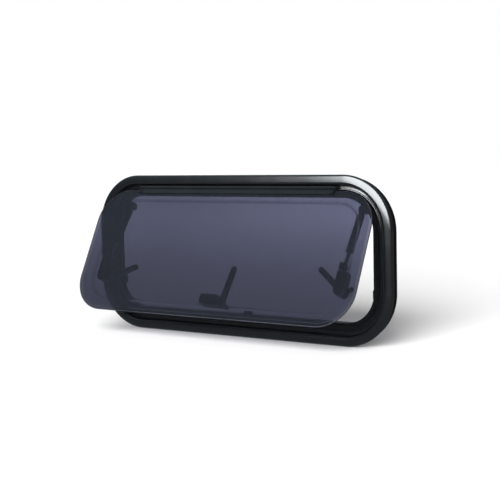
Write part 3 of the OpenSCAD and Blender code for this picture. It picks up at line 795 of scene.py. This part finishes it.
def stayPin(side):
    # the shank passes the eye, the broad dished head keeps it on
    shank, radius = 2 * staySizes["gap"] + staySizes["eyeThick"], bossRadius
    top = shank + staySizes["head"]
    pin = [
        (0, 0), (pinRadius, 0), (pinRadius, shank), (radius - 0.8, shank), (radius, shank + 0.8),
        (radius, top - 1.6), (radius - 0.5, top - 0.6), (radius - 1.6, top), (2.6, top), (2.2, top - 0.5),
        (0, top - 0.5),
    ]
    place = atPoint(onFrame, side * eyeX, pinUp, -staySizes["pinIn"], -90 * side, "Y")
    name = "stayPin" + handOf[side].capitalize()
    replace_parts(placeMesh(name, turnProfile(pin, 40), pinFinish, "frame", place), "stay_pin_" + handOf[side])


def onStay(side):
    place = Vector((side * stayX, sashPin[0], middleUp + sashPin[1])) * millimetre
    return Matrix.Translation(place) @ Matrix.Rotation(math.radians(stayTilt), 4, "X")


def stayTube(side):
    tube, bore = staySizes["tube"] / 2, staySizes["rod"] / 2 + staySizes["gap"]
    barrel = tubeLength - tangLength
    wall = [
        (bore, 0.3), (bore + 0.3, 0), (tube - 0.5, 0), (tube, 0.5), (tube, 7.5), (tube - 0.35, 8.2),
        (tube - 0.35, 9.2), (tube, 9.9), (tube, barrel - 1), (tube - 1, barrel), (0, barrel), (0, barrel - 4),
        (bore, barrel - 4), (bore, 0.3),
    ]
    place = atPoint(onStay(side), 0, 0, staySizes["shown"])
    name = "stayTube" + handOf[side].capitalize()
    sleeve = placeMesh(name, turnProfile(wall, 36), tubeFinish, "tube_" + handOf[side], place)
    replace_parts(sleeve, "stay_tube_" + handOf[side])


def stayEye(side):
    # a flat tongue out of the tube's end with a wide round hole for the pin
    half, flat = staySizes["eyeThick"] / 2, staySizes["tube"] / 2 - 1
    spread = math.degrees(math.asin(flat / eyeRadius))
    sweep = (-90 + spread, 270 - spread, 40)
    outline = [(-flat, -tangLength), (flat, -tangLength)] + arcPoints(eyeRadius, *sweep)
    hole = arcPoints(pinRadius + staySizes["slack"], *sweep)
    hole = [hole[0], hole[0]] + hole  # the hole's points pair with the outline's
    points = [(z, x, y) for z in (-half, half) for x, y in outline + hole]
    count = len(outline)
    faces = []
    for i in range(count):
        j = (i + 1) % count
        faces += [
            (i, j, 2 * count + j, 2 * count + i), (count + i, 3 * count + i, 3 * count + j, count + j),
            (i, count + i, count + j, j), (2 * count + i, 2 * count + j, 3 * count + j, 3 * count + i),
        ]
    place, name = atPoint(onStay(side), 0, 0, stayLength), "stayEye" + handOf[side].capitalize()
    eye = placeMesh(name, (points, faces), nylonFinish, "tube_" + handOf[side], place)
    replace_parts(eye, "stay_eye_" + handOf[side])


def stayRod(side):
    # a round rod, flattened to a tang with a loop on the shoe's pin
    base, body = onStay(side), "rod_" + handOf[side]
    rod, half = staySizes["rod"] / 2, staySizes["eyeThick"] / 2
    end = staySizes["shown"] + staySizes["rodInTube"]
    start, bore = shoeEye + 1.5, pinRadius + 0.2
    shaft = [(0, start), (rod - 0.6, start), (rod, start + 0.6), (rod, end - 0.8), (rod - 0.8, end), (0, end)]
    loop = [
        (bore, -half), (shoeEye - 0.5, -half), (shoeEye, -half + 0.5), (shoeEye, half - 0.5),
        (shoeEye - 0.5, half), (bore, half), (bore, -half),
    ]
    pieces = [placeMesh("shaft", turnProfile(shaft, 32), rodFinish, body, base)]
    tang = tabOutline(rod - 0.6, 0, shoeEye + 3.6, 1.4)
    pieces.append(bar("tang", tang, -half, half, rodFinish, body, base))
    pieces.append(placeMesh("loop", turnProfile(loop, 36), rodFinish, body, base @ acrossX))
    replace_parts(joinPieces("stayRod" + handOf[side].capitalize(), pieces), "stay_rod_" + handOf[side])


def onTray(x, drop, turn=0):
    return atPoint(onSash, x, -drop, -sashSizes["depth"], turn, mirrorDepth=True)


def stayShoe(side):
    # two cheeks on a bonded foot, with the pin's peened ends outside them
    base = onTray(side * stayX, shoeDrop)
    gap, cheek = staySizes["eyeThick"] / 2 + staySizes["gap"], staySizes["cheek"]
    up = staySizes["shoeIn"] - sashSizes["depth"]
    half, deep = gap + cheek, staySizes["shoeHalf"]
    outline = filletOutline([(-half, -deep, 1.6), (half, -deep, 1.6), (half, deep, 1.6), (-half, deep, 1.6)])
    foot = placeMesh("foot", extrudeOutline(outline, 0, staySizes["shoeFoot"]), nylonFinish, "sash", base)
    pieces = [softenEdges(foot, staySizes["edge"], 2)]
    outline = [(-shoeEye, 0.2), (shoeEye, 0.2)] + arcPoints(shoeEye, 0, 180, 18, y=up)
    for low in (-half, gap):
        wall = bar("cheek", outline, low, low + cheek, nylonFinish, "sash", base)
        pieces.append(softenEdges(wall, staySizes["edge"], 2))
    end, radius = half + 1, pinRadius
    pin = [
        (0, -end), (radius - 0.5, -end), (radius, -end + 0.5), (radius, end - 0.5), (radius - 0.5, end),
        (0, end),
    ]
    place = atPoint(base, 0, 0, up, 90, "Y")
    pieces.append(placeMesh("pin", turnProfile(pin, 24), screwFinish, "sash", place))
    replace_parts(joinPieces("stayShoe" + handOf[side].capitalize(), pieces), "stay_shoe_" + handOf[side])


for side in (-1, 1):
    stayBracket(side)
    stayPin(side)
    stayTube(side)
    stayEye(side)
    stayRod(side)
    stayShoe(side)
print("stays fitted, tilt", round(stayTilt, 3), "length", round(stayLength, 3))


# latches: a domed base on the inner pane, a lever with its tongue
def latchBase(name, node, x, drop, turn):
    base = onTray(x, drop, turn)
    radius, length, high = latchSizes["baseWidth"] / 2, latchSizes["baseLength"], latchSizes["baseHeight"]
    corner, plate = latchSizes["baseRound"], latchSizes["plate"]
    square = [(0, -radius, 0), (length, -radius, corner), (length, radius, corner), (0, radius, 0)]
    outline = arcPoints(radius, 90, 270, 26) + filletOutline(square, 8)[1:-1]
    block = placeMesh("block", extrudeOutline(outline, plate - 0.4, high), nylonFinish, "sash", base)
    foot = placeMesh("plate", extrudeOutline(outline, 0, plate), nylonFinish, "sash", base)
    stud = turnProfile([(0, high - 0.2), (4, high - 0.2), (4, high + 6.5), (0, high + 6.5)], 28)
    stud = placeMesh("stud", stud, nylonFinish, "sash", base)
    whole = joinPieces(name, [softenEdges(block, 2.2, 5), softenEdges(foot, 0.3, 2), stud])
    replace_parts(whole, node)


def latchLever(name, node, body, x, drop, turn, hand):
    base = atPoint(onTray(x, drop), 0, 0, latchSizes["baseHeight"] + latchSizes["gap"], turn)
    hub, wide, length = latchSizes["hub"] / 2, latchSizes["hubWidth"] / 2, latchSizes["lever"]
    thick, tip, reach = latchSizes["thick"], latchSizes["tip"], latchSizes["tongue"]
    meet = math.degrees(math.asin(min(1, wide / hub)))
    outline = arcPoints(hub, meet, 360 - meet, 36) + [(length * 0.35, -wide + 0.9)]
    outline += arcPoints(tip, -90, 90, 16, x=length - tip) + [(length * 0.35, wide - 0.9)]
    handle = placeMesh("handle", extrudeOutline(outline, 0, thick), nylonFinish, body, base)
    finger = filletOutline([(0, -4, 0), (reach, -4, 2.5), (reach, 4, 2.5), (0, 4, 0)])
    finger = extrudeOutline(finger, 0, latchSizes["tongueThick"])
    turned = atPoint(base, 0, 0, 0, -hand * latchSizes["tongueAngle"])
    tongue = placeMesh("finger", finger, nylonFinish, body, turned)
    cap = turnProfile([(0, thick), (3.6, thick), (3.9, thick - 0.3), (3.9, thick - 1), (0, thick - 1)], 28)
    cap = placeMesh("cap", cap, nylonFinish, body, base)
    whole = joinPieces(name, [softenEdges(handle, 1.8, 4), softenEdges(tongue, 0.8), cap])
    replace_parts(whole, node)


latchX = openWidth / 2 - latchSizes["inset"]
centreX, centreDrop = latchSizes["middleX"], axisUp + openHeight / 2 - latchSizes["inset"]
latchBase("latchBaseLeft", "latch_base_left", -latchX, latchDrop, 90)
latchBase("latchBaseRight", "latch_base_right", latchX, latchDrop, 90)
latchBase("latchBaseCentre", "latch_base_centre", centreX, centreDrop, 180)
tongueAt = latchSizes["tongueAngle"]
turnRight, turnLeft = tongueAt + latchSizes["turnRight"], 180 - tongueAt - latchSizes["turnLeft"]
turnCentre = tongueAt - 90 + latchSizes["turnMiddle"]
latchLever("latchLeverRight", "latch_lever_right", "lever_right", latchX, latchDrop, turnRight, 1)
latchLever("latchLeverLeft", "latch_lever_left", "lever_left", -latchX, latchDrop, turnLeft, -1)
latchLever("latchLeverCentre", "latch_lever_centre", "lever_centre", centreX, centreDrop, turnCentre, 1)
print("latches fitted")


# studio: pale floor, a soft key, a softbox for the crown's sheen, white surroundings
studio = dict(
    floorColour="#f4f4f4", floorReach=14, floorInGloss=0.3, floorGlossTint=(0.8, 0.92, 1.0, 1), floorGap=0.4,
    keyStrength=1.7, floorStrength=6.0, keyTurn=15, keyHeight=22, keySoftness=40,
    cardPlace=(0.275, -1.428, 1.346), cardAim=(0.275, 0, 0.25), cardWidth=2.05, cardHeight=2.29,
    cardWatts=315, cardColour=(0.94, 0.98, 1.0),
    ambient=0.26, glossColour=(0.72, 0.92, 1.05, 1), glossLow=0.1, glossHigh=0.6,
)
# painted shade on the floor, seen only through the glazing: a direction, then from and to in metres, then the
# tone there
glazedFloorPaintedShade = dict(
    alongWay=(-0.57, 0.82, 0), along=(-0.6, 4.1, 0.235, 0.77),
    acrossWay=(0.82, 0.57, 0), across=(-0.35, 0.5, 0.8, 1.22), front=(-0.2, -0.9, 0.0, 1.0),
)
mapEnds = ("From Min", "From Max", "To Min", "To Max")


def studioFloor():
    colour = linearColour(studio["floorColour"])
    material, tree, shader = startMaterial(
        "paleStudioFloor", Roughness=0.9, Specular_IOR_Level=0.0, Base_Color=colour)
    # painted shade: to rays through the glazing the floor is an emission, darker close behind the window and
    # lighter further off, standing in for the window's shadow on it
    place = addNode(tree, "ShaderNodeTexCoord").outputs["Object"]
    along, across = [
        addNode(tree, "ShaderNodeVectorMath", {"operation": "DOT_PRODUCT", 1: glazedFloorPaintedShade[way]}, {0: place})
        for way in ("alongWay", "acrossWay")
    ]
    depth = addNode(tree, "ShaderNodeMapRange", {
        "interpolation_type": "SMOOTHSTEP", **dict(zip(mapEnds, glazedFloorPaintedShade["along"])),
    }, {"Value": along.outputs["Value"]})
    side = addNode(tree, "ShaderNodeMapRange", dict(zip(mapEnds, glazedFloorPaintedShade["across"])),
                   {"Value": across.outputs["Value"]})
    tone = addNode(tree, "ShaderNodeMath", {"operation": "MULTIPLY", "use_clamp": True},
                   {0: depth.outputs["Result"], 1: side.outputs["Result"]})
    front = addNode(tree, "ShaderNodeMapRange", dict(zip(mapEnds, glazedFloorPaintedShade["front"])),
                    {"Value": along.outputs["Value"]})
    both = addNode(tree, "ShaderNodeMath", {"operation": "MAXIMUM"},
                   {0: tone.outputs[0], 1: front.outputs["Result"]})
    rays = addNode(tree, "ShaderNodeLightPath").outputs
    # painted shade: the emission that rays through the glazing see on the floor
    shadeThroughGlazing = addNode(tree, "ShaderNodeEmission", links={"Strength": both.outputs[0]})
    mirrored = addNode(tree, "ShaderNodeEmission", {
        "Strength": studio["floorInGloss"], "Color": studio["floorGlossTint"],
    })
    # a ray through clear glazing counts as glossy too, so the painted shade for the glazing is mixed in last
    first = addNode(tree, "ShaderNodeMixShader", links={
        0: rays["Is Glossy Ray"], 1: shader.outputs[0], 2: mirrored.outputs[0],
    })
    last = addNode(tree, "ShaderNodeMixShader", links={
        0: rays["Is Transmission Ray"], 1: first.outputs[0], 2: shadeThroughGlazing.outputs[0],
    })
    tree.links.new(last.outputs[0], tree.nodes["Material Output"].inputs["Surface"])
    reach, low = studio["floorReach"] * 1000, -window["flangeWidth"] / 2 - studio["floorGap"]
    points = [(-reach, -reach, low), (reach, -reach, low), (reach, reach, low), (-reach, reach, low)]
    mesh = bpy.data.meshes.new("studioFloor")
    mesh.from_pydata([Vector(p) * millimetre for p in points], [], [(0, 1, 2, 3)])
    mesh.materials.append(material)
    floor = bpy.data.objects.new("studioFloor", mesh)
    bpy.context.scene.collection.objects.link(floor)
    return floor


def addLamp(name, kind, place, aim, **settings):
    data = bpy.data.lights.new(name, kind)
    for key, value in settings.items():
        setattr(data, key, value)
    lamp = bpy.data.objects.new(name, data)
    lamp.location = place
    lamp.rotation_euler = (Vector(aim) - Vector(place)).to_track_quat("-Z", "Y").to_euler()
    bpy.context.scene.collection.objects.link(lamp)
    return lamp


def lightOnly(lamp, pieces):
    group = bpy.data.collections.new(lamp.name + "Lights")
    for piece in pieces:
        group.objects.link(piece)
    lamp.light_linking.receiver_collection = group


def studioLamps(floor):
    turn, height = math.radians(studio["keyTurn"]), math.radians(studio["keyHeight"])
    flat, soft = 2 * math.cos(height), math.radians(studio["keySoftness"])
    place = (flat * math.sin(turn), -flat * math.cos(turn), 2 * math.sin(height))
    key = addLamp("softKey", "SUN", place, (0, 0, 0), energy=studio["keyStrength"], angle=soft)
    key.visible_glossy = False
    # the floor takes more of the same low soft light, so the window's shadow lies behind it
    wash = addLamp("floorWash", "SUN", place, (0, 0, 0), energy=studio["floorStrength"], angle=soft)
    wash.visible_glossy = False
    lightOnly(wash, [floor])
    card = addLamp(
        "frameSoftbox", "AREA", studio["cardPlace"], studio["cardAim"], shape="RECTANGLE",
        size=studio["cardWidth"], size_y=studio["cardHeight"], energy=studio["cardWatts"],
        color=studio["cardColour"])
    card.visible_diffuse = False
    card.visible_transmission = False
    lightOnly(card, [crown, collar])


def studioWorld():
    # white to the camera and through the glazing, a cool overhead gradient to what shines, dim to the rest
    world = bpy.data.worlds.new("whiteStudio")
    bpy.context.scene.world = world
    world.use_nodes = True
    tree = world.node_tree
    background = tree.nodes["Background"]
    rays = addNode(tree, "ShaderNodeLightPath").outputs
    place = addNode(tree, "ShaderNodeTexCoord").outputs["Generated"]
    upward = addNode(tree, "ShaderNodeSeparateXYZ", links={"Vector": place})
    gloss = addNode(tree, "ShaderNodeMapRange", {"To Min": studio["glossLow"], "To Max": studio["glossHigh"]},
                    {"Value": upward.outputs["Z"]})
    mirrored = addNode(tree, "ShaderNodeMath", {"operation": "SUBTRACT", "use_clamp": True},
                       {0: rays["Is Glossy Ray"], 1: rays["Is Transmission Ray"]})
    level = addNode(tree, "ShaderNodeMix", {2: studio["ambient"]},
                    {0: mirrored.outputs[0], 3: gloss.outputs["Result"]})
    tint = addNode(tree, "ShaderNodeMix", {"data_type": "RGBA", 6: (1, 1, 1, 1), 7: studio["glossColour"]},
                   {0: mirrored.outputs[0]})
    tree.links.new(tint.outputs[2], background.inputs["Color"])
    direct = addNode(tree, "ShaderNodeMath", {"operation": "MAXIMUM"},
                     {0: rays["Is Camera Ray"], 1: rays["Is Transmission Ray"]})
    seen = addNode(tree, "ShaderNodeMix", {3: 1.0}, {0: direct.outputs[0], 2: level.outputs[0]})
    tree.links.new(seen.outputs[0], background.inputs["Strength"])


studioLamps(studioFloor())
studioWorld()
print("studio lit")


# camera at the photograph's viewpoint, angles in radians
view = dict(place=(1.37314, -1.93455, 0.39066), turn=0.6048, pitch=-0.0917, roll=-0.0220, lens=81.9)


def photoCamera():
    turn, pitch, roll = view["turn"], view["pitch"], view["roll"]
    ahead = Vector((-math.sin(turn) * math.cos(pitch), math.cos(turn) * math.cos(pitch), math.sin(pitch)))
    right = Vector((math.cos(turn), math.sin(turn), 0))
    up = right.cross(ahead)
    across = math.cos(roll) * right + math.sin(roll) * up
    over = -math.sin(roll) * right + math.cos(roll) * up
    data = bpy.data.cameras.new("photoCamera")
    data.lens, data.sensor_width = view["lens"], 36
    data.clip_start, data.clip_end = 0.05, 60
    camera = bpy.data.objects.new("photoCamera", data)
    camera.matrix_world = Matrix((
        (across.x, over.x, -ahead.x, view["place"][0]),
        (across.y, over.y, -ahead.y, view["place"][1]),
        (across.z, over.z, -ahead.z, view["place"][2]),
        (0, 0, 0, 1),
    ))
    bpy.context.scene.collection.objects.link(camera)
    bpy.context.scene.camera = camera


photoCamera()
bpy.context.scene.view_settings.view_transform = "Standard"
